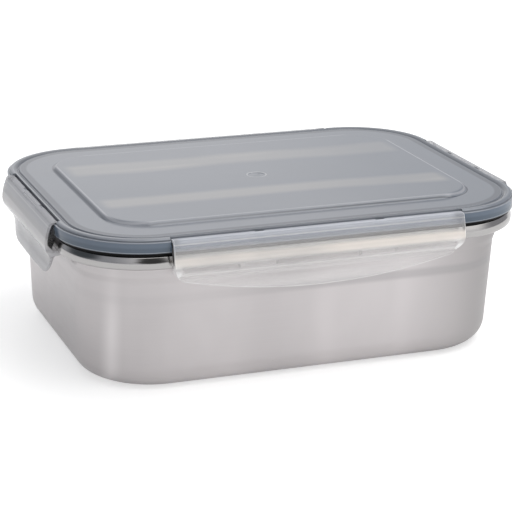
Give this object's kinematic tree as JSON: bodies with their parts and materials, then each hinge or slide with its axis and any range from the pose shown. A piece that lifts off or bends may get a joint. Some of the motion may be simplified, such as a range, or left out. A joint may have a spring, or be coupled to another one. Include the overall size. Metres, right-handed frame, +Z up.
{
  "type": "lunch box",
  "caption": "Rectangular steel lunch box with a rolled rim, a sealed translucent press-on lid and hinged clips on all sides.",
  "frame": {"origin": "centre of the base, on the surface the box stands on", "axes": "+X along the long side, -Y is the front, +Z up"},
  "size_m": [0.2442, 0.1848, 0.0797],
  "materials": {
    "steel": "satin, finely brushed",
    "lid_plastic": "translucent grey polypropylene, glossy",
    "seal": "black silicone, satin",
    "clip_plastic": "clear to milky polypropylene, glossy"
  },
  "bodies": {
    "tub": {"tub": "steel"},
    "lid": {"lid": "lid_plastic", "gasket": "seal"},
    "clip_back": {"clip_back": "clip_plastic"},
    "clip_front": {"clip_front": "clip_plastic"},
    "clip_left": {"clip_left": "clip_plastic"},
    "clip_right": {"clip_right": "clip_plastic"}
  },
  "joints": [
    {"name": "lid_lift", "type": "slide", "parent": "tub", "child": "lid", "axis": [0, 0, 1], "range_m": [0, 0.15]},
    {"name": "clip_right_hinge", "type": "hinge", "parent": "lid", "child": "clip_right", "pos_m": [0.1162, 0, 0.0764], "axis": [0, -1, 0], "range_deg": [0, 95]},
    {"name": "clip_back_hinge", "type": "hinge", "parent": "lid", "child": "clip_back", "pos_m": [0, 0.0865, 0.0764], "axis": [1, 0, 0], "range_deg": [0, 95]},
    {"name": "clip_left_hinge", "type": "hinge", "parent": "lid", "child": "clip_left", "pos_m": [-0.1162, 0, 0.0764], "axis": [0, 1, 0], "range_deg": [0, 95]},
    {"name": "clip_front_hinge", "type": "hinge", "parent": "lid", "child": "clip_front", "pos_m": [0, -0.0865, 0.0764], "axis": [-1, 0, 0], "range_deg": [0, 95]}
  ]
}
